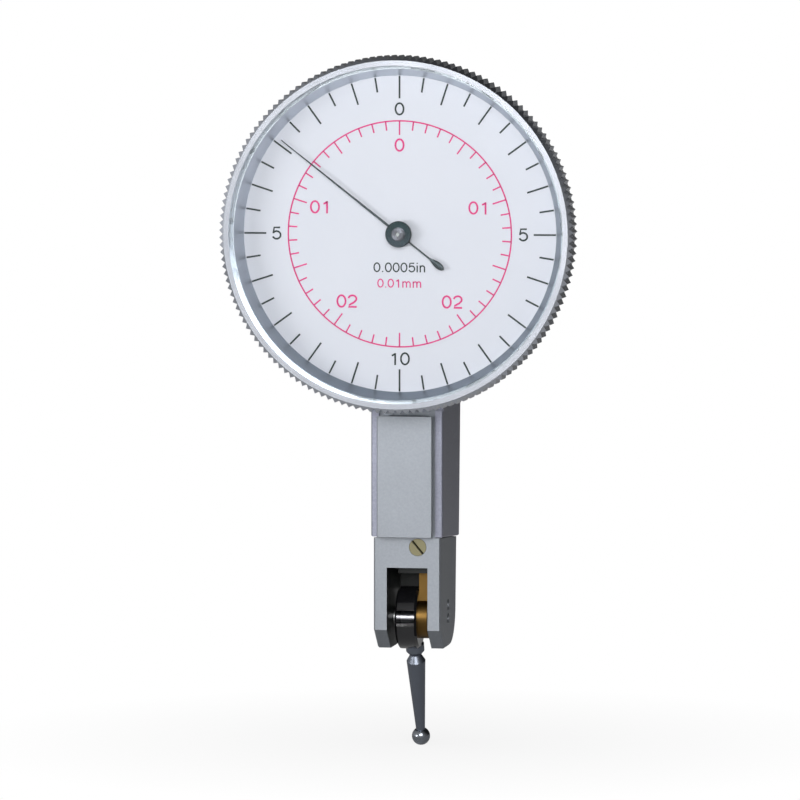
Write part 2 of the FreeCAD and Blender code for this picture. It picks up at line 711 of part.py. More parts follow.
def pivot_bearing_screws():
    """Cup-ended screws in the ears, with screwdriver slots in their outer ends."""
    screws = []
    for side in (-1, 1):
        inner = SLOT_WIDTH / 2 - RUNNING
        outer = inner + BEARING_SCREW_DEPTH
        body = rod_x(BEARING_SCREW_RADIUS, sorted((side * inner, side * outer)), PIVOT_Y, PIVOT_Z)
        tip = SLOT_WIDTH / 2 + AXLE_CONE
        mouth = tip - inner + GAP
        cup = turned_x(
            [(0, side * (inner - GAP)), (mouth, side * (inner - GAP)), (0, side * tip)],
            PIVOT_Y,
            PIVOT_Z,
        )
        slot = box(
            sorted((side * (outer - 0.25), side * (outer + GAP))),
            (PIVOT_Y - 1, PIVOT_Y + 1),
            (PIVOT_Z - 0.1, PIVOT_Z + 0.1),
        )
        screws.append(body.cut(cup).cut(slot))
    return Part.makeCompound(screws)


def clutch_spring_washer():
    """Thin spring disc that presses the drum against the lever's disc."""
    x = (DRUM_LEFT - WASHER_THICK, DRUM_LEFT)
    disc = rod_x(NUT_RADIUS, x, PIVOT_Y, PIVOT_Z)
    return disc.cut(rod_x(AXLE_RADIUS, x, PIVOT_Y, PIVOT_Z))


def clutch_nut():
    """Round nut on the left end of the axle."""
    left = DRUM_LEFT - WASHER_THICK - NUT_THICK
    x = (left, left + NUT_THICK)
    nut = rod_x(NUT_RADIUS, x, PIVOT_Y, PIVOT_Z)
    return nut.cut(pivot_axle())


def stylus_carrier():
    """Black drum that turns with the sleeve; a notch in its front shows the sleeve."""
    x = (DRUM_LEFT, LEVER_LEFT)
    drum = rod_x(DRUM_RADIUS, x, 0, 0)
    rims = [edge for edge in drum.Edges if edge.BoundBox.XLength < 1e-6]
    drum = drum.makeChamfer(DRUM_EDGE, rims)
    outside = DRUM_LEFT - 1
    deep = -DRUM_RADIUS - 1
    lean = (DRUM_FLANK_X - DRUM_LEFT) / (DRUM_RADIUS - DRUM_FLANK_START)
    flank = [
        (outside, -DRUM_FLANK_START),
        (DRUM_LEFT, -DRUM_FLANK_START),
        (DRUM_FLANK_X + lean, deep),
        (outside, deep),
    ]
    flank = polygon_y(flank, (-DRUM_RADIUS - 1, DRUM_RADIUS + 1))
    half = NOTCH_HEIGHT / 2
    notch_x = (DRUM_LEFT + NOTCH_SIDE, LEVER_LEFT - NOTCH_SIDE)
    notch = box(notch_x, (-DRUM_RADIUS - 1, 0), (-half, half))
    notch.rotate(Vector(0, 0, 0), Vector(1, 0, 0), -STYLUS_TILT - NOTCH_RISE)
    seat_x = (STYLUS_X - COLLAR_RADIUS, LEVER_LEFT + 1)
    seat = box(seat_x, (-DRUM_RADIUS, DRUM_RADIUS), (deep, -COLLAR_SEAT))
    hole = rod_z(THREAD_RADIUS, (deep, THREAD_LENGTH - COLLAR_SEAT), STYLUS_X)
    for space in (flank, notch, seat, sleeve_blank(), hole):
        drum = drum.cut(space)
    return set_stylus(drum)


def sleeve_blank():
    """The sleeve without its bore, about the pivot."""
    right = LEVER_LEFT
    flange = right - SLEEVE_FLANGE_THICK
    corners = [(0, DRUM_LEFT), (SLEEVE_RADIUS, DRUM_LEFT), (SLEEVE_RADIUS, flange)]
    corners += [(SLEEVE_FLANGE, flange), (SLEEVE_FLANGE, right), (0, right)]
    return turned_x(corners, 0, 0)


def set_stylus(shape):
    """Carry a shape built about the pivot, stylus downwards, to its place and tilt."""
    shape.rotate(Vector(0, 0, 0), Vector(1, 0, 0), STYLUS_TILT)
    shape.translate(Vector(0, PIVOT_Y, PIVOT_Z))
    return shape


def carrier_sleeve():
    """Bright flanged sleeve, pressed in the drum and turning on the axle."""
    bore = rod_x(AXLE_RADIUS + RUNNING, (DRUM_LEFT - GAP, LEVER_LEFT + GAP), 0, 0)
    return set_stylus(sleeve_blank().cut(bore))


def contact_stylus():
    """Threaded end, wrench collar, grooved neck and long taper to the ball."""
    thread_end = THREAD_LENGTH - COLLAR_SEAT
    ball_seat = BALL_SEAT - STYLUS_LENGTH
    corners = [
        (0, thread_end),
        (THREAD_RADIUS, thread_end),
        (THREAD_RADIUS, -COLLAR_SEAT),
        (COLLAR_RADIUS, -COLLAR_SEAT),
        (COLLAR_RADIUS, -COLLAR_END),
        (NECK_RADIUS, -NECK_AT),
        (SHOULDER_RADIUS, -SHOULDER_AT),
        (SHANK_END_RADIUS, ball_seat),
        (0, ball_seat),
    ]
    stylus = turned_z(corners)
    stylus.translate(Vector(STYLUS_X, 0, 0))
    return set_stylus(stylus)


def contact_ball():
    """Ball with a small flat where it is brazed to the shank."""
    ball = Part.makeSphere(BALL_RADIUS, Vector(STYLUS_X, 0, -STYLUS_LENGTH))
    flat = BALL_SEAT - STYLUS_LENGTH
    above = rod_z(BALL_RADIUS, (flat, flat + BALL_RADIUS), STYLUS_X)
    return set_stylus(ball.cut(above))


# ---------------------------------------------------------------- crown wheel train
def crown_tooth():
    """One tooth of the crown wheel, at the front of the wheel."""
    addendum = 0.75 * CROWN_MODULE
    slope = math.tan(math.radians(PRESSURE_ANGLE))
    half = (math.pi * CROWN_MODULE / 2 - FINE_BACKLASH) / 2
    root = CROWN_FACE - CROWN_DEDENDUM
    wide = half + CROWN_DEDENDUM * slope
    tip = half - addendum * slope
    profile = [(root, -wide), (CROWN_FACE + addendum, -tip)]
    profile += [(CROWN_FACE + addendum, tip), (root, wide)]
    front = CROWN_Y - CROWN_OUTER + RUNNING
    corners = [Vector(x, front, z) for x, z in profile]
    face = Part.Face(Part.makePolygon(corners + corners[:1]))
    return face.extrude(Vector(0, CROWN_FACE_WIDTH - 2 * RUNNING, 0))


def crown_wheel():
    """Cup wheel whose teeth stand on its face, towards +X, in mesh with the arbor."""
    root = CROWN_FACE - CROWN_DEDENDUM
    back = root - CROWN_RIM_THICK
    web = back + CROWN_WEB_THICK
    end = back - CROWN_HUB_LENGTH
    inner = CROWN_OUTER - CROWN_FACE_WIDTH - CROWN_RIM_WIDTH
    corners = [(ARBOR_RADIUS, end), (CROWN_HUB_RADIUS, end), (CROWN_HUB_RADIUS, back)]
    corners += [(CROWN_OUTER, back), (CROWN_OUTER, root), (inner, root)]
    corners += [(inner, web), (ARBOR_RADIUS, web)]
    tooth = crown_tooth()
    teeth = []
    for index in range(CROWN_TEETH):
        turned = tooth.copy()
        angle = (index + 0.5) * 360 / CROWN_TEETH
        turned.rotate(Vector(0, CROWN_Y, 0), Vector(1, 0, 0), angle)
        teeth.append(turned)
    return turned_x(corners, CROWN_Y, 0).multiFuse(teeth)


def crown_arbor():
    """Steel arbor from cover to cover with the small pinion that the lever drives."""
    end = HALF_RING + JEWEL_THICK - GAP
    shoulder = HALF_RING - GAP
    corners = [(0, -end), (PIVOT_RADIUS, -end), (PIVOT_RADIUS, -shoulder)]
    corners += [(ARBOR_RADIUS, -shoulder), (ARBOR_RADIUS, shoulder)]
    corners += [(PIVOT_RADIUS, shoulder), (PIVOT_RADIUS, end), (0, end)]
    arbor = turned_x(corners, CROWN_Y, 0)
    points = gear_outline(SECTOR_MODULE, DRIVEN_TEETH, BACKLASH)
    x = (LEVER_LEFT - GAP, LEVER_RIGHT + GAP)
    pinion = polygon_x([(CROWN_Y + a, b) for a, b in points], x)
    towards = math.degrees(math.atan2(PIVOT_Z, PIVOT_Y - CROWN_Y))
    return arbor.fuse(about_x(pinion, towards, CROWN_Y, 0))


def centre_arbor():
    """Pointer's arbor, from its rear pivot in the bridge to its front end."""
    rear = BRIDGE_FRONT + JEWEL_THICK
    corners = [(0, rear), (PIVOT_RADIUS, rear), (PIVOT_RADIUS, BRIDGE_FRONT - GAP)]
    corners += [(ARBOR_RADIUS, BRIDGE_FRONT - GAP), (ARBOR_RADIUS, HUB_FRONT)]
    corners += [(ARBOR_RADIUS * 0.6, BOSS_FRONT + ARBOR_RECESS), (0, BOSS_FRONT + ARBOR_RECESS)]
    arbor = turned_y(corners)
    points = gear_outline(CROWN_MODULE, CENTRE_TEETH, FINE_BACKLASH)
    turned = [(-a, b) for a, b in points]
    half = math.pi / CENTRE_TEETH
    teeth = [
        (a * math.cos(half) - b * math.sin(half), a * math.sin(half) + b * math.cos(half))
        for a, b in turned
    ]
    return arbor.fuse(polygon_y(teeth, (PINION_FRONT, PINION_BACK)))


def bridge_screw_place():
    """(x, z) of the screw of the centre bridge: the middle of its foot."""
    return (BRIDGE_LEFT + BRIDGE_RIGHT) / 2, sum(BRIDGE_FOOT) / 2


def centre_bridge():
    """Bracket inside the front wall with a finger that holds the rear jewel."""
    depth = (CAVITY_FRONT, CAVITY_FRONT + BRIDGE_FOOT_THICK)
    foot = box((BRIDGE_LEFT, BRIDGE_RIGHT), depth, BRIDGE_FOOT)
    low = -BRIDGE_HALF_HEIGHT
    corners = [
        (BRIDGE_TIP, low, 0.5),
        (BRIDGE_RIGHT - 1, low, 0.5),
        (BRIDGE_RIGHT - 1, BRIDGE_FOOT[0] + 0.5, 0),
        (BRIDGE_LEFT, BRIDGE_FOOT[0] + 0.5, 0),
        (BRIDGE_LEFT, -low, 0),
        (BRIDGE_TIP, -low, 0.2),
    ]
    finger = slab_y(corners, (BRIDGE_FRONT, BRIDGE_BACK))
    bridge = foot.fuse(finger)
    bridge = bridge.cut(rod_y(SMALL_JEWEL_RADIUS, (BRIDGE_FRONT, BRIDGE_FRONT + JEWEL_THICK)))
    x, z = bridge_screw_place()
    reach = (CAVITY_FRONT, CAVITY_FRONT + BRIDGE_SCREW_REACH)
    return bridge.cut(rod_y(BRIDGE_SCREW_RADIUS, reach, x, z))


def bridge_screw():
    """Countersunk screw that holds the bridge from the front of the frame."""
    x, z = bridge_screw_place()
    length = FRONT_WALL + BRIDGE_SCREW_REACH
    screw = sunk_screw(BRIDGE_SCREW_RADIUS, BRIDGE_SCREW_HEAD, length)
    screw.translate(Vector(x, FRONT_Y, z))
    return screw


def jewel_bearings():
    """Four pierced jewels: two for the centre arbor, two for the crown arbor."""
    front = rod_y(JEWEL_RADIUS, (BASE_FRONT, BASE_FRONT + JEWEL_THICK))
    front = front.cut(rod_y(ARBOR_RADIUS + RUNNING, (BASE_FRONT, BASE_FRONT + JEWEL_THICK)))
    reach = (BRIDGE_FRONT, BRIDGE_FRONT + JEWEL_THICK)
    rear = rod_y(SMALL_JEWEL_RADIUS, reach).cut(rod_y(PIVOT_RADIUS + RUNNING, reach))
    jewels = [front, rear]
    for side in (-1, 1):
        x = sorted((side * HALF_RING, side * (HALF_RING + JEWEL_THICK)))
        jewel = rod_x(JEWEL_RADIUS, x, CROWN_Y, 0)
        jewels.append(jewel.cut(rod_x(PIVOT_RADIUS + RUNNING, x, CROWN_Y, 0)))
    return Part.makeCompound(jewels)


# ---------------------------------------------------------------- dial side
def base_screw_places():
    """(x, z) of the two screws of the dial base, above and below the dial axis."""
    return [(0.0, BASE_SCREW_Z), (0.0, -BASE_SCREW_Z)]


def dial_base():
    """Round case behind the dial; its rim carries the bezel."""
    inner = RIM_RADIUS - RIM_THICK
    groove = RIM_RADIUS - KEEPER_SPAN
    keeper_back = FRONT_Y - KEEPER_AT
    keeper_front = keeper_back - KEEPER_THICK
    corners = [
        (0, FRONT_Y),
        (RIM_RADIUS, FRONT_Y),
        (RIM_RADIUS, keeper_back + RUNNING),
        (groove, keeper_back + RUNNING),
        (groove, keeper_front - RUNNING),
        (RIM_RADIUS, keeper_front - RUNNING),
        (RIM_RADIUS, RIM_FRONT),
        (inner, RIM_FRONT),
        (inner, BASE_FRONT),
        (0, BASE_FRONT),
    ]
    base = turned_y(corners)
    cuts = [rod_y(JEWEL_RADIUS, (BASE_FRONT, BASE_FRONT + JEWEL_THICK))]
    cuts.append(rod_y(ARBOR_RADIUS + 4 * GAP, (BASE_FRONT, FRONT_Y)))
    for x, z in base_screw_places():
        hole = screw_hole(BASE_SCREW_RADIUS, BASE_SCREW_HEAD, BASE_THICK)
        hole.translate(Vector(x, BASE_FRONT, z))
        cuts.append(hole)
    x, z = stud_place()
    cuts.append(rod_y(STUD_RADIUS, (BASE_FRONT, BASE_FRONT + STUD_SEAT), x, z))
    return base.cut(Part.makeCompound(cuts))


def dial_base_screws():
    screws = []
    for x, z in base_screw_places():
        screw = sunk_screw(BASE_SCREW_RADIUS, BASE_SCREW_HEAD, BASE_THICK + BASE_SCREW_REACH)
        screw.translate(Vector(x, BASE_FRONT, z))
        screws.append(screw)
    return Part.makeCompound(screws)


def bezel_keeper_ring():
    """Open snap ring, half in the rim and half in the bezel, that holds the bezel on."""
    back = FRONT_Y - KEEPER_AT
    inner = RIM_RADIUS - KEEPER_SPAN + RUNNING
    outer = BEZEL_BORE + KEEPER_SPAN - SLIP
    reach = (back - KEEPER_THICK, back)
    ring = rod_y(outer, reach).cut(rod_y(inner, reach))
    half = math.radians(KEEPER_MOUTH / 2)
    far = 2 * outer
    mouth = [(0, 0), (far * math.sin(half), far * math.cos(half))]
    mouth += [(-far * math.sin(half), far * math.cos(half))]
    return ring.cut(polygon_y(mouth, (reach[0] - GAP, reach[1] + GAP)))


def knurl_points(y, radius, shift):
    """A point for each tooth of the knurl, turned by that share of the pitch."""
    points = []
    for index in range(KNURL_TEETH):
        angle = (index + shift) * 2 * math.pi / KNURL_TEETH
        points.append(Vector(radius * math.sin(angle), y, radius * math.cos(angle)))
    return points + points[:1]


def flat_face(*corners):
    return Part.Face(Part.makePolygon(list(corners) + [corners[0]]))


def knurl():
    """Band of straight V teeth, turned down at both ends by a cone."""
    foot = KNURL_RADIUS - KNURL_CHAMFER
    valley = KNURL_RADIUS - KNURL_DEPTH
    back_end = BEZEL_FRONT + KNURL_WIDTH + 2 * KNURL_CHAMFER
    sides = []
    lines = []
    for end, inward in ((BEZEL_FRONT, 1), (back_end, -1)):
        ring = knurl_points(end, foot, 0)
        valleys = knurl_points(end + inward * (valley - foot), valley, 0)
        tips = knurl_points(end + inward * KNURL_CHAMFER, KNURL_RADIUS, 0.5)
        lines.append((valleys, tips))
        sides.append(flat_face(*ring[:-1]))
        for index in range(KNURL_TEETH):
            after = index + 1
            sides.append(flat_face(ring[index], valleys[index], tips[index]))
            sides.append(flat_face(ring[index], tips[index], ring[after]))
            sides.append(flat_face(ring[after], tips[index], valleys[after]))
    (valleys, tips), (back_valleys, back_tips) = lines
    for index in range(KNURL_TEETH):
        for near in (index, index + 1):
            line = (valleys[near], tips[index], back_tips[index], back_valleys[near])
            sides.append(flat_face(*line))
    return Part.Solid(Part.Shell(sides))


def bezel():
    """Knurled bezel with the seats of crystal and dial and the groove of the keeper."""
    keeper_back = FRONT_Y - KEEPER_AT
    keeper_front = keeper_back - KEEPER_THICK
    groove = BEZEL_BORE + KEEPER_SPAN
    rear = FRONT_Y - SKIRT_GAP
    inside = [
        (0, BEZEL_FRONT - GAP),
        (CRYSTAL_RADIUS, BEZEL_FRONT - GAP),
        (CRYSTAL_RADIUS, CRYSTAL_BACK),
        (WALL_OUTER_RADIUS, CRYSTAL_BACK),
        (WALL_INNER_RADIUS, DIAL_FRONT),
        (BEZEL_BORE, DIAL_FRONT),
        (BEZEL_BORE, keeper_front - SLIP),
        (groove, keeper_front - SLIP),
        (groove, keeper_back + SLIP),
        (BEZEL_BORE, keeper_back + SLIP),
        (BEZEL_BORE, rear + GAP),
        (0, rear + GAP),
    ]
    knurl_back = BEZEL_FRONT + KNURL_WIDTH + 2 * KNURL_CHAMFER
    skirt = rod_y(SKIRT_RADIUS, (knurl_back - GAP, rear))
    return knurl().fuse(skirt).cut(turned_y(inside))


def crystal():
    """Flat glass, pressed in the bezel."""
    return rod_y(CRYSTAL_RADIUS, (CRYSTAL_FRONT, CRYSTAL_BACK))


def dial_face():
    disc = rod_y(BEZEL_BORE, (DIAL_FRONT, DIAL_BACK))
    return disc.cut(rod_y(DIAL_HOLE, (DIAL_FRONT, DIAL_BACK)))


def pointer_hand():
    """Thin tapered hand with a round eye under the hub and a leaf-shaped tail."""
    root = POINTER_ROOT / 2
    tip = POINTER_TIP / 2
    blade = [(-root, 0), (root, 0), (tip, POINTER_LENGTH), (-tip, POINTER_LENGTH)]
    reach = (HUB_BACK, POINTER_BACK)
    hand = polygon_y(blade, reach)
    leaf = TAIL_LENGTH - TAIL_LEAF
    stem = 0.1
    tail = [(-stem, 0), (-stem, -leaf), (-TAIL_WIDTH / 2, -leaf - 0.3 * TAIL_LEAF)]
    tail += [(0, -TAIL_LENGTH), (TAIL_WIDTH / 2, -leaf - 0.3 * TAIL_LEAF), (stem, -leaf), (stem, 0)]
    eye = rod_y(HUB_RADIUS - 2 * GAP, reach)
    hand = hand.fuse(polygon_y(tail, reach)).fuse(eye)
    hand = hand.cut(rod_y(ARBOR_RADIUS, reach))
    hand.rotate(Vector(0, 0, 0), Vector(0, 1, 0), -POINTER_ANGLE)
    return hand


def pointer_hub():
    """Turned hub that clamps the hand and grips the arbor."""
    edge = 0.08
    corners = [(ARBOR_RADIUS, HUB_BACK), (HUB_RADIUS, HUB_BACK)]
    corners += [(HUB_RADIUS, HUB_FRONT + edge), (HUB_RADIUS - edge, HUB_FRONT)]
    corners += [(HUB_BOSS_RADIUS, HUB_FRONT), (HUB_BOSS_RADIUS, BOSS_FRONT + edge)]
    corners += [(HUB_BOSS_RADIUS - edge, BOSS_FRONT), (ARBOR_RADIUS * 0.6, BOSS_FRONT)]
    corners += [(ARBOR_RADIUS * 0.6, BOSS_FRONT + ARBOR_RECESS), (ARBOR_RADIUS, HUB_FRONT)]
    return turned_y(corners)


# ---------------------------------------------------------------- hairspring
def spring_point(share, offset):
    """(x, z) on the spiral, offset outward; share runs from 0 inside to 1 outside."""
    radius = SPRING_INNER + (SPRING_OUTER - SPRING_INNER) * share + offset
    angle = share * SPRING_TURNS * 2 * math.pi
    return radius * math.cos(angle), radius * math.sin(angle)


def stud_place():
    """(x, z) of the stud, just outside the spring's outer end."""
    x, z = spring_point(1.0, 0.0)
    length = math.hypot(x, z)
    grow = (length + SPRING_THICK / 2 + STUD_RADIUS) / length
    return x * grow, z * grow


def hairspring():
    """Flat spiral strip from the collet to the stud, in short straight lengths."""
    steps = round(SPRING_TURNS * SPRING_SIDES)
    half = SPRING_THICK / 2
    inner = [spring_point(index / steps, -half) for index in range(steps + 1)]
    outer = [spring_point(index / steps, half) for index in range(steps + 1)]
    return polygon_y(inner + outer[::-1], (SPRING_FRONT, SPRING_BACK))


def hairspring_collet():
    back = SPRING_BACK + (COLLET_HEIGHT - SPRING_HEIGHT) / 2
    reach = (back - COLLET_HEIGHT, back)
    return rod_y(COLLET_RADIUS, reach).cut(rod_y(ARBOR_RADIUS, reach))


def hairspring_stud():
    x, z = stud_place()
    return rod_y(STUD_RADIUS, (SPRING_FRONT - GAP, BASE_FRONT + STUD_SEAT), x, z)


# ---------------------------------------------------------------- the whole
PIECES = {
    "main_frame": main_frame,
    "left_side_cover": lambda: side_cover(-1),
    "right_side_cover": lambda: side_cover(1),
    "side_cover_screws": side_cover_screws,
    "travel_stop_screw": travel_stop_screw,
    "pivot_bearing_screws": pivot_bearing_screws,
    "pivot_axle": pivot_axle,
    "transmission_lever": transmission_lever,
    "clutch_spring_washer": clutch_spring_washer,
    "clutch_nut": clutch_nut,
    "stylus_carrier": stylus_carrier,
    "carrier_sleeve": carrier_sleeve,
    "contact_stylus": contact_stylus,
    "contact_ball": contact_ball,
    "crown_wheel": crown_wheel,
    "crown_arbor": crown_arbor,
    "centre_arbor": centre_arbor,
    "centre_bridge": centre_bridge,
    "bridge_screw": bridge_screw,
    "jewel_bearings": jewel_bearings,
    "dial_base": dial_base,
    "dial_base_screws": dial_base_screws,
    "bezel_keeper_ring": bezel_keeper_ring,
    "bezel": bezel,
    "crystal": crystal,
    "dial_face": dial_face,
    "pointer_hand": pointer_hand,
    "pointer_hub": pointer_hub,
    "hairspring": hairspring,
    "hairspring_collet": hairspring_collet,
    "hairspring_stud": hairspring_stud,
}

os.makedirs("parts", exist_ok=True)
for name, make in PIECES.items():
    make().exportStep(f"parts/{name}.step")
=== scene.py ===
import math

import bmesh
import bpy
import numpy as np
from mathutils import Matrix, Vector


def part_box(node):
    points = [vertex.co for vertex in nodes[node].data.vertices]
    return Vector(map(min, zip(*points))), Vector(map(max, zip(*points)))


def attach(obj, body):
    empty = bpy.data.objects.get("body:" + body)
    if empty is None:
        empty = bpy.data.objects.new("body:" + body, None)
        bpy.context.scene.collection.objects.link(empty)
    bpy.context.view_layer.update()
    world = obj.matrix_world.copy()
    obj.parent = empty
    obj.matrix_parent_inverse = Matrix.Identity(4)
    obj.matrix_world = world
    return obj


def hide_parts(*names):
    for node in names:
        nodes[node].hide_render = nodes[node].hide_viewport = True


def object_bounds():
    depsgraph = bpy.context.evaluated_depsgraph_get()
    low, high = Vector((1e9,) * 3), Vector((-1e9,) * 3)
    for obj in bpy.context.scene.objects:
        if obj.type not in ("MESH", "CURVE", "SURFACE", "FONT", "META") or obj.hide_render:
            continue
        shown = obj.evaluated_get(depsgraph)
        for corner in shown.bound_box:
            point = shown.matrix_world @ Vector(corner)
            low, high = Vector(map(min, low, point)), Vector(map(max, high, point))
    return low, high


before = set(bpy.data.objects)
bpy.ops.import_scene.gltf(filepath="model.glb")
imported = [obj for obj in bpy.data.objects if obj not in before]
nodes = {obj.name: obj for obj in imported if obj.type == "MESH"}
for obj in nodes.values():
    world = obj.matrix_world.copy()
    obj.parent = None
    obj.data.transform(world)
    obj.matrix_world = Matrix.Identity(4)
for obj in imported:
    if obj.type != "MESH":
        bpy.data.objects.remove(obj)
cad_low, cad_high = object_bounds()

MM = 0.001


# Shader sums and finishes, which every material below is made with.
class Val:
    """A shader socket, or a number, that adds Math nodes when it is used in a sum."""

    def __init__(self, tree, socket):
        self.tree = tree
        self.socket = socket

    def _math(self, operation, *parts):
        node = self.tree.nodes.new("ShaderNodeMath")
        node.operation = operation
        for place, part in zip(node.inputs, parts):
            if isinstance(part, Val):
                self.tree.links.new(part.socket, place)
            else:
                place.default_value = part
        return Val(self.tree, node.outputs[0])

    def __add__(self, other):
        return self._math("ADD", self, other)

    __radd__ = __add__

    def __mul__(self, other):
        return self._math("MULTIPLY", self, other)

    __rmul__ = __mul__

    def __sub__(self, other):
        return self._math("SUBTRACT", self, other)

    def __rsub__(self, other):
        return self._math("SUBTRACT", other, self)

    def __truediv__(self, other):
        return self._math("DIVIDE", self, other)

    def __pow__(self, other):
        return self._math("POWER", self, other)

    def sine(self):
        return self._math("SINE", self)

    def largest(self, other):
        return self._math("MAXIMUM", self, other)

    def smallest(self, other):
        return self._math("MINIMUM", self, other)

    def clamped(self):
        return self.largest(0.0).smallest(1.0)

    def above(self, other):
        return self._math("GREATER_THAN", self, other)


class Finish:
    """A material with one Principled shader, and the nodes that feed it."""

    def __init__(self, name, **values):
        self.material = bpy.data.materials.new(name)
        self.material.use_nodes = True
        self.tree = self.material.node_tree
        self.shader = self.tree.nodes["Principled BSDF"]
        for socket, value in values.items():
            self.set(socket.replace("_", " "), value)

    def set(self, socket, value):
        place = self.shader.inputs[socket]
        if isinstance(value, Val):
            self.tree.links.new(value.socket, place)
        elif isinstance(value, tuple) and len(value) == 3:
            place.default_value = value + (1.0,)
        else:
            place.default_value = value

    def node(self, kind, settings=None, output=0, **inputs):
        """A node of that type, its settings made first, then the sockets' values or links."""
        node = self.tree.nodes.new(kind)
        for name, value in (settings or {}).items():
            setattr(node, name, value)
        for name, value in inputs.items():
            place = node.inputs[name.replace("_", " ")]
            if isinstance(value, Val):
                self.tree.links.new(value.socket, place)
            else:
                place.default_value = value
        return Val(self.tree, node.outputs[output])

    def place(self):
        """Where the point is, in the object's own coordinates, in metres."""
        return self.node("ShaderNodeTexCoord", output="Object")

    def axes(self):
        """The three coordinates in millimetres."""
        node = self.tree.nodes.new("ShaderNodeSeparateXYZ")
        self.tree.links.new(self.place().socket, node.inputs[0])
        return [Val(self.tree, node.outputs[i]) / MM for i in range(3)]

    def fed(self, socket):
        """What already feeds that socket, to build on."""
        return Val(self.tree, self.shader.inputs[socket].links[0].from_socket)

    def noise(self, scale, detail=2.0):
        return self.node(
            "ShaderNodeTexNoise", output="Fac",
            Vector=self.place(), Scale=scale, Detail=detail, Roughness=0.5,
        )

    def mix(self, share, first, second):
        """One colour turning to another by the share."""
        node = self.tree.nodes.new("ShaderNodeMix")
        node.data_type = "RGBA"
        for place, value in ((0, share), (6, first), (7, second)):
            if isinstance(value, Val):
                self.tree.links.new(value.socket, node.inputs[place])
            elif place:
                node.inputs[place].default_value = tuple(value) + (1.0,)
            else:
                node.inputs[place].default_value = value
        return Val(self.tree, node.outputs[2])

    def relief(self, height, depth, strength=1.0):
        """Bump of that depth in metres from a height between 0 and 1."""
        bump = self.node("ShaderNodeBump", Height=height, Distance=depth, Strength=strength)
        self.set("Normal", bump)

    def onto(self, *names):
        """Every material slot of the named CAD nodes takes this finish."""
        for name in names:
            for slot in nodes[name].material_slots:
                slot.material = self.material
        return self


# The dial: a round brass plate sprayed with matt white enamel, seated in the
# bezel behind the glass and turning with it. It carries all the print, so its
# front face is what the other prints lie on.
DIAL_WHITE = (0.673, 0.659, 0.736)
DIAL_SHADE = (0.64, 0.628, 0.708)
enamel = Finish("dial_enamel", Roughness=0.55, Specular_IOR_Level=0.35)
cloud = enamel.noise(180.0, 3.0)
enamel.set("Base Color", enamel.mix(cloud, DIAL_SHADE, DIAL_WHITE))
enamel.relief(enamel.noise(9000.0, 2.0), 0.004 * MM, 0.35)
enamel.onto("dial_face")

dial_low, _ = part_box("dial_face")
DIAL_FRONT = dial_low.y


# The printed scales: lines of ink a hundredth of a millimetre thick. Black
# divides the turn in forty and red in fifty, both counted two ways from the top.
INK_PROUD = 0.012 * MM
INK_SUNK = 0.003 * MM
INK_TOP = DIAL_FRONT - INK_PROUD
INK_FOOT = DIAL_FRONT + INK_SUNK


def grid_mesh(name, points, closed_u=False, closed_v=False):
    """Mesh on a grid of points (rows, columns, 3), each four neighbours one face."""
    rows, columns = points.shape[:2]
    index = np.arange(rows * columns).reshape(rows, columns)
    if closed_u:
        index = np.vstack([index, index[:1]])
    if closed_v:
        index = np.hstack([index, index[:, :1]])
    faces = np.stack([index[:-1, :-1], index[:-1, 1:], index[1:, 1:], index[1:, :-1]], axis=-1)
    mesh = bpy.data.meshes.new(name)
    mesh.from_pydata(points.reshape(-1, 3).tolist(), [], faces.reshape(-1, 4).tolist())
    mesh.update()
    return mesh


def piece(name, mesh, finish, body):
    """A new object for the mesh, in that finish, riding on that body."""
    thing = bpy.data.objects.new(name, mesh)
    bpy.context.scene.collection.objects.link(thing)
    mesh.materials.clear()
    mesh.materials.append(finish.material)
    mesh.polygons.foreach_set("use_smooth", np.full(len(mesh.polygons), False))
    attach(thing, body)
    return thing


def radial_marks(name, angles, inner, outer, widths):
    """Mesh of flat bars: bar k lies along the radius at angles[k] (degrees, from the top
    towards +X), from inner[k] to outer[k] millimetres and widths[k] wide."""
    turn = np.radians(np.asarray(angles, float))
    inner, outer, widths = (
        np.broadcast_to(np.asarray(a, float), turn.shape) for a in (inner, outer, widths)
    )
    along = np.stack([np.sin(turn), np.zeros_like(turn), np.cos(turn)], axis=-1)
    across = np.stack([np.cos(turn), np.zeros_like(turn), -np.sin(turn)], axis=-1)
    corners = []
    for level in (INK_FOOT, INK_TOP):
        for reach, side in ((inner, -1), (outer, -1), (outer, 1), (inner, 1)):
            point = along * reach[:, None] + across * (side * widths / 2)[:, None]
            point = point * MM
            point[:, 1] = level
            corners.append(point)
    points = np.stack(corners, axis=1).reshape(-1, 3)
    box = np.array([
        [0, 1, 2, 3], [7, 6, 5, 4], [0, 4, 5, 1], [1, 5, 6, 2], [2, 6, 7, 3], [3, 7, 4, 0],
    ])
    faces = (box[None] + 8 * np.arange(len(turn))[:, None, None]).reshape(-1, 4)
    mesh = bpy.data.meshes.new(name)
    mesh.from_pydata(points.tolist(), [], faces.tolist())
    mesh.update()
    return mesh


def ring_mesh(name, radius, width):
    """A flat ring: a rectangle, width by the ink's thickness, carried round the radius."""
    turn = np.linspace(0, 2 * math.pi, 360, endpoint=False)
    reach = (radius + np.array([-1, 1, 1, -1]) * width / 2) * MM
    depth = np.array([INK_FOOT, INK_FOOT, INK_TOP, INK_TOP])
    points = np.stack([
        np.sin(turn)[:, None] * reach,
        np.broadcast_to(depth, (len(turn), 4)),
        np.cos(turn)[:, None] * reach,
    ], axis=-1)
    return grid_mesh(name, points, True, True)


def outward(mesh):
    """Turns every face of a closed mesh to the outside."""
    work = bmesh.new()
    work.from_mesh(mesh)
    bmesh.ops.recalc_face_normals(work, faces=work.faces[:])
    work.to_mesh(mesh)
    work.free()
    return mesh


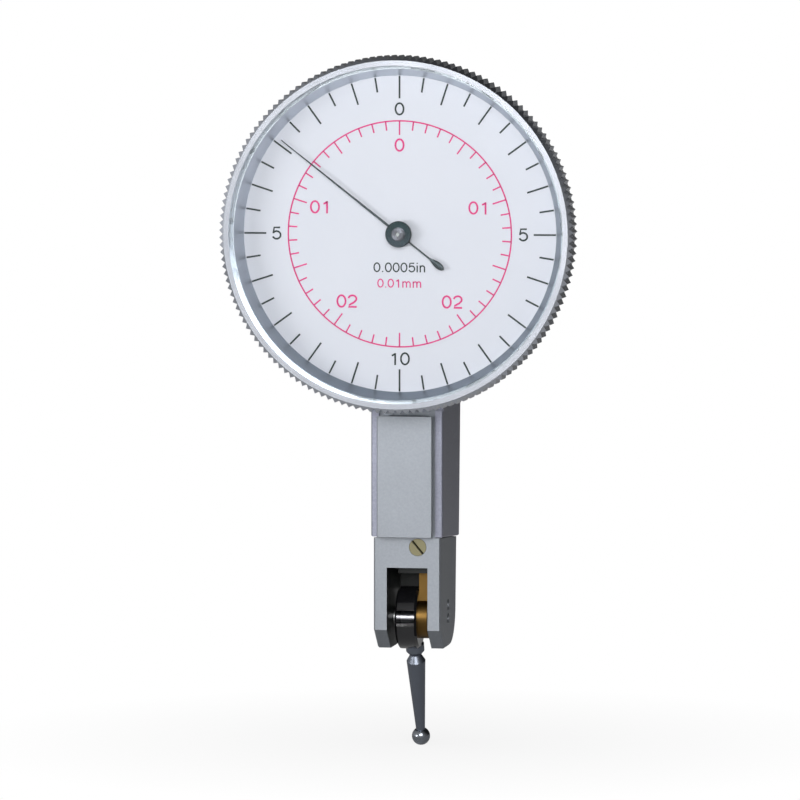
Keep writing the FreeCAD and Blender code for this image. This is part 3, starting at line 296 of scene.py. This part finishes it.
def arc(x, z, wide, tall, first, last, count=18):
    """Points of an ellipse's arc: centre plus the half axes times cosine and sine."""
    angle = np.radians(np.linspace(first, last, count))
    return np.stack([x + wide * np.cos(angle), z + tall * np.sin(angle)], axis=-1)


def line(*points):
    return np.array(points, float)


# Plain upright figures, one unit tall about their middle: the pen's paths and
# how far the next figure stands.
FIGURES = {
    "0": ([arc(0, 0, 0.285, 0.445, 0, 360, 37)], 0.77),
    "1": ([
        line((-0.17, 0.245), (-0.06, 0.285), (0.03, 0.36), (0.075, 0.44), (0.075, -0.50)),
    ], 0.77),
    "2": ([np.vstack([
        arc(0, 0.185, 0.275, 0.26, 172, -28),
        line((0.10, -0.10), (-0.20, -0.28), (-0.28, -0.445), (0.30, -0.445)),
    ])], 0.77),
    "5": ([np.vstack([
        line((0.25, 0.445), (-0.17, 0.445), (-0.235, -0.02)), arc(0.0, -0.145, 0.285, 0.30, 140, -158, 24),
    ])], 0.77),
    ".": ([line((0.0, -0.5), (0.0, -0.38))], 0.36),
    "i": ([line((0.0, -0.5), (0.0, 0.22)), line((0.0, 0.38), (0.0, 0.5))], 0.31),
    "n": ([
        line((-0.21, -0.5), (-0.21, 0.22)),
        np.vstack([arc(0.0, -0.03, 0.205, 0.205, 170, 0), line((0.205, -0.5))]),
    ], 0.72),
    "m": ([
        line((-0.40, -0.5), (-0.40, 0.22)),
        np.vstack([arc(-0.20, -0.03, 0.195, 0.205, 170, 0), line((-0.005, -0.5))]),
        np.vstack([arc(0.20, -0.03, 0.195, 0.205, 170, 0), line((0.395, -0.5))]),
    ], 1.14),
}


def pen_stroke(path, width):
    """A ribbon: at each point of the path, half the width to both sides along the normal,
    and the same again lower down, so four corners are carried along the path."""
    along = np.gradient(path, axis=0)
    along /= np.linalg.norm(along, axis=1)[:, None]
    side = np.stack([-along[:, 1], along[:, 0]], axis=-1) * width / 2
    left, right = path + side, path - side
    level = np.array([INK_TOP, INK_TOP, INK_FOOT, INK_FOOT])
    flat = np.stack([left, right, right, left], axis=1) * MM
    return np.stack([flat[..., 0], np.broadcast_to(level, flat.shape[:2]), flat[..., 1]], axis=-1)


PEN_WEIGHT = 0.142      # of a figure's height
FIGURE_WIDEN = 1.12


def lettering(name, words, finish, body):
    """Printed figures, each word centred on its place: words are (text, x, z, height) in
    millimetres, and a fifth value where a word is set narrower than the rest."""
    points, faces, base = [], [], 0
    for text, x, z, height, *narrow in words:
        widen = narrow[0] if narrow else FIGURE_WIDEN
        pen = -sum(FIGURES[sign][1] for sign in text) / 2 * widen
        for sign in text:
            strokes, advance = FIGURES[sign]
            for path in strokes:
                middle = pen + advance * widen / 2
                placed = (path * (widen, 1.0) + (middle, 0.0)) * height + (x, z)
                grid = pen_stroke(placed, PEN_WEIGHT * height)
                rows = len(grid)
                index = np.arange(rows * 4).reshape(rows, 4)
                index = np.hstack([index, index[:, :1]])
                around = np.stack([
                    index[:-1, :-1], index[:-1, 1:], index[1:, 1:], index[1:, :-1],
                ], axis=-1)
                last = 4 * rows - 1
                ends = np.array([[0, 1, 2, 3], [last, last - 1, last - 2, last - 3]])
                faces += (np.vstack([around.reshape(-1, 4), ends]) + base).tolist()
                points.append(grid.reshape(-1, 3))
                base += rows * 4
            pen += advance * widen
    mesh = bpy.data.meshes.new(name)
    mesh.from_pydata(np.vstack(points).tolist(), [], faces)
    mesh.update()
    return piece(name, outward(mesh), finish, body)


black_ink = Finish("black_ink", Roughness=0.5, Specular_IOR_Level=0.3)
black_ink.set("Base Color", black_ink.mix(
    black_ink.noise(900.0), (0.006, 0.015, 0.017), (0.012, 0.023, 0.026)
))
red_ink = Finish("red_ink", Roughness=0.5, Specular_IOR_Level=0.3)
red_ink.set("Base Color", red_ink.mix(
    red_ink.noise(900.0), (0.66, 0.018, 0.185), (0.72, 0.028, 0.215)
))

INCH_COUNT = 40
LONG_MARK = (14.42, 16.80)      # from radius to radius
SHORT_MARK = (15.23, 16.78)
BLACK_WIDTH = 0.19
steps = np.arange(INCH_COUNT)
inner, outer = (
    np.where(steps % 2 == 0, long, short) for long, short in zip(LONG_MARK, SHORT_MARK)
)
black_marks = radial_marks("black_scale", steps * 360.0 / INCH_COUNT, inner, outer, BLACK_WIDTH)
piece("black_scale", outward(black_marks), black_ink, "bezel")

METRIC_COUNT = 50
RED_CIRCLE = 12.03
FIFTH_LENGTH = 1.50
UNIT_LENGTH = 0.96
RED_WIDTH = 0.155
counts = np.arange(-24, 26)
inner = RED_CIRCLE - np.where(counts % 5 == 0, FIFTH_LENGTH, UNIT_LENGTH)
red_marks = radial_marks("red_scale", counts * 360.0 / METRIC_COUNT, inner, RED_CIRCLE, RED_WIDTH)
piece("red_scale", outward(red_marks), red_ink, "bezel")
red_ring = ring_mesh("red_circle", RED_CIRCLE, RED_WIDTH)
piece("red_circle", outward(red_ring), red_ink, "bezel")

NUMBER_RADIUS = 13.3
BLACK_HEIGHT = 1.36
RED_HEIGHT = 1.38
lettering("black_numbers", [
    ("0", 0.0, NUMBER_RADIUS, BLACK_HEIGHT),
    ("5", NUMBER_RADIUS, 0.0, BLACK_HEIGHT),
    ("5", -NUMBER_RADIUS, 0.0, BLACK_HEIGHT),
    ("10", 0.0, -NUMBER_RADIUS, BLACK_HEIGHT),
    ("0.0005in", 0.0, -3.56, 1.02, 1.07),
], black_ink, "bezel")
red_words = [("0", 0.0, 9.46, RED_HEIGHT), ("0.01mm", 0.0, -5.25, 0.93, 1.06)]
for side in (-1, 1):
    for angle, radius, text in ((71.7, 9.0, "01"), (141.7, 9.17, "02")):
        turn = math.radians(side * angle)
        red_words.append((text, radius * math.sin(turn), radius * math.cos(turn), RED_HEIGHT))
lettering("red_numbers", red_words, red_ink, "bezel")


# The bezel: turned brass, straight-knurled round its edge and chrome plated.
# It snaps over the dial base and turns by hand with the dial and the glass.
def plated(name, base, rough, grain_scale, grain_depth, spread=0.08):
    """Bright metal with a fine uneven grain and slightly clouded gloss."""
    metal = Finish(name, Metallic=1.0)
    cloud = metal.noise(260.0, 3.0)
    darker = tuple(0.90 * c for c in base)
    metal.set("Base Color", metal.mix(cloud, darker, base))
    metal.set("Roughness", rough + (cloud - 0.5) * spread)
    metal.relief(metal.noise(grain_scale, 2.0), grain_depth * MM, 0.6)
    return metal


chrome = Finish("bezel_chrome", Metallic=1.0)
ring_x, ring_y, ring_z = chrome.axes()
ring_radius = (ring_x * ring_x + ring_z * ring_z) ** 0.5
WALL_RADII = (16.0, 17.68)      # the sloped wall between the glass and the dial
WALL_DEPTHS = (-20.9, -18.85)
wall = ring_radius.above(WALL_RADII[0]) * (1.0 - ring_radius.above(WALL_RADII[1]))
wall = wall * ring_y.above(WALL_DEPTHS[0]) * (1.0 - ring_y.above(WALL_DEPTHS[1]))
haze = chrome.noise(240.0, 3.0)
# The sloped wall is painted lighter towards the top and darker towards the right and the bottom: painted
# light and shade.
wall_painted_light = (ring_z * 0.034 - ring_x * 0.020 + 0.45).clamped()
inner_wall_light_and_shade = chrome.mix(wall_painted_light, (0.22, 0.26, 0.31), (0.58, 0.62, 0.68))
bright = chrome.mix(haze, (0.57, 0.60, 0.67), (0.65, 0.68, 0.745))
chrome.set("Base Color", chrome.mix(wall, bright, inner_wall_light_and_shade))
chrome.set("Roughness", 0.20 + wall * 0.20 + (haze - 0.5) * 0.08)
chrome.relief(chrome.noise(5000.0, 2.0), 0.0015 * MM, 0.6)
chrome.onto("bezel")
plated("keeper_spring_steel", (0.42, 0.43, 0.45), 0.30, 3000.0, 0.002).onto("bezel_keeper_ring")


# The glass: a flat disc pressed in the bezel. It lets nearly all light by and
# keeps only a thin reflection that grows as it is seen more from the side.
HEAD_ON_SHINE = 0.022
EDGE_SHINE = 0.97


def clear_glass():
    glass = bpy.data.materials.new("crystal_glass")
    glass.use_nodes = True
    tree = glass.node_tree
    tree.nodes.clear()
    out = tree.nodes.new("ShaderNodeOutputMaterial")
    clear = tree.nodes.new("ShaderNodeBsdfTransparent")
    clear.inputs["Color"].default_value = (0.97, 0.985, 0.98, 1.0)
    shine = tree.nodes.new("ShaderNodeBsdfGlossy")
    shine.inputs["Roughness"].default_value = 0.02
    shine.inputs["Color"].default_value = (1.0, 1.0, 1.0, 1.0)
    facing = Val(tree, tree.nodes.new("ShaderNodeLayerWeight").outputs["Facing"])
    thrown_back = facing ** 5.0 * EDGE_SHINE + HEAD_ON_SHINE
    mix = tree.nodes.new("ShaderNodeMixShader")
    tree.links.new(thrown_back.socket, mix.inputs[0])
    tree.links.new(clear.outputs[0], mix.inputs[1])
    tree.links.new(shine.outputs[0], mix.inputs[2])
    tree.links.new(mix.outputs[0], out.inputs[0])
    return glass


GLASS = clear_glass()
for slot in nodes["crystal"].material_slots:
    slot.material = GLASS


# The pointer: a thin blued steel hand riveted to a turned hub. The hub shows
# tool rings round a bright boss with the hole that a hand lifter grips.
blued = Finish("blued_hand", Metallic=0.6, Roughness=0.38)
blued.set("Base Color", blued.mix(
    blued.noise(1200.0), (0.020, 0.030, 0.036), (0.045, 0.058, 0.068)
))
blued.relief(blued.noise(6000.0), 0.002 * MM, 0.5)
blued.onto("pointer_hand")


TAIL_END = 6.15         # from the axis, on the side away from the tip
LEAF_START = 4.2
LEAF_LENGTH = 1.95
EYE_RADIUS = 1.0
NEEDLE_START = 0.8


def hand_mesh():
    """The hand as a plate: along its length a half width that is straight on the needle,
    full at the eye, thin on the stem and swells to a leaf; its top is crowned across."""
    reach = np.concatenate([
        np.linspace(-TAIL_END, 0.1 - LEAF_START, 26),
        np.linspace(0.2 - LEAF_START, -NEEDLE_START, 6),
        np.linspace(NEEDLE_START, HAND_TIP, 24),
    ])
    leaf = np.clip((-LEAF_START - reach) / LEAF_LENGTH, 0.0, 1.0)
    half = 0.09 + 0.27 * np.sin(np.pi * leaf ** 1.35) ** 0.8
    half = np.where(leaf > 0.93, half * np.clip((1 - leaf) / 0.07, 0.10, 1), half)
    along_needle = (reach - NEEDLE_START) / (HAND_TIP - NEEDLE_START)
    half = np.where(reach > 0, 0.135 - along_needle * 0.085, half)
    half = np.where(np.abs(reach) < EYE_RADIUS, 0.30, half)
    across = np.array([-1.0, -0.6, 0.0, 0.6, 1.0, 1.0, -1.0])
    level = np.array([0.35, 0.85, 1.0, 0.85, 0.35, 0.0, 0.0])
    turn = math.radians(HAND_ANGLE)
    along = np.array([-math.sin(turn), math.cos(turn)])
    side = np.array([math.cos(turn), math.sin(turn)])
    flat = reach[:, None, None] * along + (half[:, None] * across)[..., None] * side
    depth = HAND_BACK + level * (HAND_FRONT - HAND_BACK)
    points = np.stack([
        flat[..., 0] * MM, np.broadcast_to(depth, flat.shape[:2]), flat[..., 1] * MM,
    ], axis=-1)
    mesh = grid_mesh("pointer_hand_leaf", points, False, True)
    return capped(mesh, points.shape)


def capped(mesh, shape):
    """Closes both ends of a tube of rows whose last axis goes round."""
    rows, round_count = shape[:2]
    work = bmesh.new()
    work.from_mesh(mesh)
    work.verts.ensure_lookup_table()
    for row in (0, rows - 1):
        work.faces.new([work.verts[row * round_count + k] for k in range(round_count)])
    bmesh.ops.recalc_face_normals(work, faces=work.faces[:])
    work.to_mesh(mesh)
    work.free()
    return mesh


hand_low, hand_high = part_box("pointer_hand")
HAND_FRONT, HAND_BACK = hand_low.y, hand_high.y
HAND_ANGLE = 52.0
TIP_SHORT = 0.02        # of the CAD hand's corner
HAND_TIP = -hand_low.x / MM / math.sin(math.radians(HAND_ANGLE)) - TIP_SHORT
leaf_hand = piece("pointer_hand_leaf", hand_mesh(), blued, "pointer")
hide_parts("pointer_hand")

hub = Finish("turned_hub", Metallic=1.0)
hub_x, _, hub_z = hub.axes()
hub_radius = (hub_x * hub_x + hub_z * hub_z) ** 0.5
TOOL_RING_PITCH = 0.13
BOSS_RADIUS = 0.73
BOSS_HOLE_RADIUS = 0.21
rings = (hub_radius * (2 * math.pi / TOOL_RING_PITCH)).sine() * 0.5 + 0.5
outer_part = hub_radius.above(BOSS_RADIUS)
# Outside the boss the hub's dark colour is painted darker towards its top: painted shade.
hub_painted_shade = hub.mix(hub_z * 0.3 + 0.5, (0.040, 0.052, 0.066), (0.008, 0.026, 0.028))
# The lifter hole in the boss is painted near black as the shade inside it: painted shade.
boss = hub.mix(hub_radius.above(BOSS_HOLE_RADIUS), (0.030, 0.028, 0.034), (0.17, 0.17, 0.20))
hub.set("Base Color", hub.mix(outer_part, boss, hub_painted_shade))
hub.set("Roughness", 0.22 + outer_part * 0.16)
hub.relief(rings, 0.006 * MM, 0.7)
hub.onto("pointer_hub")
plated("collet_brass", (0.50, 0.36, 0.14), 0.30, 3000.0, 0.002).onto("hairspring_collet")
plated("arbor_steel", (0.52, 0.53, 0.54), 0.18, 4000.0, 0.001).onto(
    "centre_arbor", "crown_arbor", "pivot_axle"
)


# The frame: one bar of steel, milled with the dovetails, the fork and the ring
# behind the dial, then bead blasted and satin chromed.
def satin(name, base, rough, speck=0.16):
    """Blasted steel: small bright and dull specks over a softly clouded sheen."""
    metal = Finish(name, Metallic=1.0)
    fine = metal.noise(4200.0, 3.0)
    cloud = metal.noise(150.0, 3.0)
    worn = fine * 0.7 + cloud * 0.3
    low = tuple(c * (1 - speck) for c in base)
    high = tuple(min(1.0, c * (1 + speck)) for c in base)
    metal.set("Base Color", metal.mix(worn, low, high))
    metal.set("Roughness", rough + (cloud - 0.5) * 0.10)
    metal.relief(fine, 0.008 * MM, 0.55)
    return metal


satin("base_satin", (0.46, 0.48, 0.50), 0.40).onto("dial_base")
frame_metal = satin("frame_satin", (0.285, 0.305, 0.335), 0.42)
# The walls of the fork's window are painted near black, out to just short of its faces, and lose most of
# their metal: painted shade for the dark inside of the window.
WINDOW_HALF_SQUARED = 4.98
WINDOW_TOP = -36.0
WINDOW_DEPTHS = (-13.95, -3.2)
fork_x, fork_y, fork_z = frame_metal.axes()
window_painted_shade = (1.0 - (fork_x * fork_x).above(WINDOW_HALF_SQUARED)) * (1.0 - fork_z.above(WINDOW_TOP))
window_painted_shade = window_painted_shade * fork_y.above(WINDOW_DEPTHS[0]) * (1.0 - fork_y.above(WINDOW_DEPTHS[1]))
frame_metal.set("Base Color", frame_metal.mix(
    window_painted_shade, frame_metal.fed("Base Color"), (0.012, 0.014, 0.014)
))
frame_metal.set("Metallic", 1.0 - window_painted_shade * 0.8)
frame_metal.onto("main_frame")
satin("cover_satin", (0.30, 0.31, 0.38), 0.36, 0.30).onto(
    "left_side_cover", "right_side_cover"
)


# Screws and small steel pieces of the outside: cover screws, bearing screws,
# the travel stop screw in its greenish plating, and the dial base's screws.
plated("screw_steel", (0.40, 0.41, 0.42), 0.28, 3000.0, 0.002).onto(
    "side_cover_screws", "dial_base_screws", "bridge_screw"
)
stop = plated("stop_screw_plating", (0.26, 0.24, 0.145), 0.34, 3000.0, 0.004)
SLOT_SHADE_DEPTH = 0.06
# All of the screw lying deeper than a little behind its head's face, the slot with it, is painted near
# black: painted shade.
slot_painted_shade = stop.axes()[1].above(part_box("travel_stop_screw")[0].y / MM + SLOT_SHADE_DEPTH)
stop.set("Base Color", stop.mix(slot_painted_shade, stop.fed("Base Color"), (0.02, 0.018, 0.012)))
stop.onto("travel_stop_screw")


# The lever end in the fork: a brass transmission lever beside the black drum of
# the stylus carrier, whose bright sleeve grips the stylus.
brass = plated("lever_brass", (0.165, 0.096, 0.028), 0.36, 2600.0, 0.004, 0.12)
brass.onto("transmission_lever", "centre_bridge", "hairspring_stud", "crown_wheel")
black = Finish("black_oxide", Metallic=0.2, Roughness=0.16, Coat_Weight=0.6, Coat_Roughness=0.08)
black.set("Base Color", black.mix(
    black.noise(800.0), (0.006, 0.006, 0.007), (0.014, 0.014, 0.016)
))
black.relief(black.noise(2500.0), 0.003 * MM, 0.4)
black.onto("stylus_carrier", "pivot_bearing_screws")
plated("sleeve_steel", (0.74, 0.75, 0.80), 0.30, 4000.0, 0.001).onto("carrier_sleeve")
plated("clutch_steel", (0.55, 0.56, 0.57), 0.24, 3000.0, 0.002).onto(
    "clutch_nut", "clutch_spring_washer"
)
plated("hairspring_steel", (0.30, 0.33, 0.42), 0.25, 3000.0, 0.001).onto("hairspring")
ruby = Finish("ruby", Roughness=0.08, IOR=1.76)
ruby.set("Base Color", ruby.mix(
    ruby.noise(800.0), (0.42, 0.010, 0.045), (0.55, 0.020, 0.070)
))
ruby.onto("jewel_bearings")


# The stylus: a turned steel cone with its tightening collar, and a ball of
# polished carbide brazed to its end.
plated("stylus_steel", (0.19, 0.21, 0.25), 0.38, 3500.0, 0.003, 0.10).onto("contact_stylus")
plated("ball_carbide", (0.27, 0.29, 0.32), 0.20, 4000.0, 0.001, 0.05).onto("contact_ball")


# The studio: a round sheet of pale paper under the stylus's ball that fades
# into a white surround, one large soft lamp low on the left and one ahead.
cad_middle = (cad_low + cad_high) / 2
PAPER_RADIUS = 0.45


def paper_mesh():
    """A flat round sheet: rings of points, the radius growing evenly from the middle."""
    turn = np.linspace(0, 2 * math.pi, 64, endpoint=False)
    reach = np.linspace(0.00001, PAPER_RADIUS, 12)
    points = np.empty((len(turn), len(reach), 3))
    points[..., 0] = np.cos(turn)[:, None] * reach
    points[..., 1] = np.sin(turn)[:, None] * reach
    points[..., 2] = cad_low.z
    return grid_mesh("studio_floor", points, True)


paper = Finish("studio_paper", Base_Color=(0.90, 0.90, 0.90), Roughness=0.9)
paper_x, paper_y, _ = paper.axes()
spread = (paper_x * paper_x + paper_y * paper_y) ** 0.5 / (PAPER_RADIUS / MM)
path = paper.tree.nodes.new("ShaderNodeLightPath")
white_seen = Val(paper.tree, path.outputs["Is Camera Ray"]).largest(
    Val(paper.tree, path.outputs["Is Transmission Ray"])
)
glow = paper.tree.nodes.new("ShaderNodeEmission")
mix = paper.tree.nodes.new("ShaderNodeMixShader")
WHITE_AT_MIDDLE = 0.86
WHITE_GAIN = 1.2
share = white_seen * (spread * WHITE_GAIN + WHITE_AT_MIDDLE).clamped()
for feed, place in (
    (share.socket, mix.inputs[0]),
    (paper.shader.outputs[0], mix.inputs[1]),
    (glow.outputs[0], mix.inputs[2]),
    (mix.outputs[0], paper.tree.nodes["Material Output"].inputs[0]),
):
    paper.tree.links.new(feed, place)
floor = bpy.data.objects.new("studio_floor", paper_mesh())
bpy.context.scene.collection.objects.link(floor)
floor.data.materials.append(paper.material)


def lamp(name, place, aim, size, power):
    """A white rectangular lamp, turned to shine at the aim."""
    light = bpy.data.lights.new(name, "AREA")
    light.shape = "RECTANGLE"
    light.size, light.size_y = size
    light.energy = power
    holder = bpy.data.objects.new(name, light)
    bpy.context.scene.collection.objects.link(holder)
    holder.location = place
    holder.rotation_mode = "QUATERNION"
    holder.rotation_quaternion = (Vector(aim) - Vector(place)).to_track_quat("-Z", "Y")


lamp("key_lamp", (-0.50, -0.46, -0.16), cad_middle, (0.30, 0.30), 8.2)
lamp("front_lamp", (0.12, -0.85, 0.22), cad_middle, (0.50, 0.35), 4.6)

world = bpy.data.worlds.new("studio")
bpy.context.scene.world = world
world.use_nodes = True
sky = world.node_tree
sky.nodes.clear()
sky_out = sky.nodes.new("ShaderNodeOutputWorld")
sky_light = sky.nodes.new("ShaderNodeBackground")
toward = sky.nodes.new("ShaderNodeTexCoord")
split = sky.nodes.new("ShaderNodeSeparateXYZ")
sky.links.new(toward.outputs["Generated"], split.inputs[0])
east, north, up = (Val(sky, split.outputs[i]) for i in range(3))
# For light and reflections the surround darkens upwards, to the right and behind.
LEVEL_TONE, LEAST_TONE = 0.44, 0.03
tone = (LEVEL_TONE - up * 0.40 - east * 0.22 - north * 0.28).largest(LEAST_TONE)
path = sky.nodes.new("ShaderNodeLightPath")
seen = Val(sky, path.outputs["Is Camera Ray"])
strength = tone * (1.0 - seen) + seen
sky.links.new(strength.socket, sky_light.inputs["Strength"])
sky_light.inputs["Color"].default_value = (1.0, 1.0, 1.0, 1.0)
sky.links.new(sky_light.outputs[0], sky_out.inputs[0])


# The camera: a long lens at the dial's height, a little to the right of the
# axis and a little above it.
AZIMUTH = math.radians(9.5)
ELEVATION = math.radians(4.0)
DISTANCE = 0.70
DIAL_ABOVE_AIM = 17.66 * MM
VIEW_WIDTH = 85.1064 * MM   # at the dial
SENSOR_WIDTH = 36.0
camera = bpy.data.objects.new("camera", bpy.data.cameras.new("camera"))
bpy.context.scene.collection.objects.link(camera)
toward_camera = Vector((
    math.sin(AZIMUTH) * math.cos(ELEVATION),
    -math.cos(AZIMUTH) * math.cos(ELEVATION),
    math.sin(ELEVATION),
))
turn = toward_camera.to_track_quat("Z", "Y")
aim = Vector((0.05 * MM, DIAL_FRONT, 0.0)) - turn @ Vector((0.0, DIAL_ABOVE_AIM, 0.0))
camera.location = aim + toward_camera * DISTANCE
camera.rotation_mode = "QUATERNION"
camera.rotation_quaternion = turn
camera.data.sensor_width = SENSOR_WIDTH
camera.data.lens = SENSOR_WIDTH * DISTANCE / VIEW_WIDTH
camera.data.clip_start = 0.01
camera.data.clip_end = 10.0
bpy.context.scene.camera = camera
bpy.context.scene.view_settings.view_transform = "Standard"
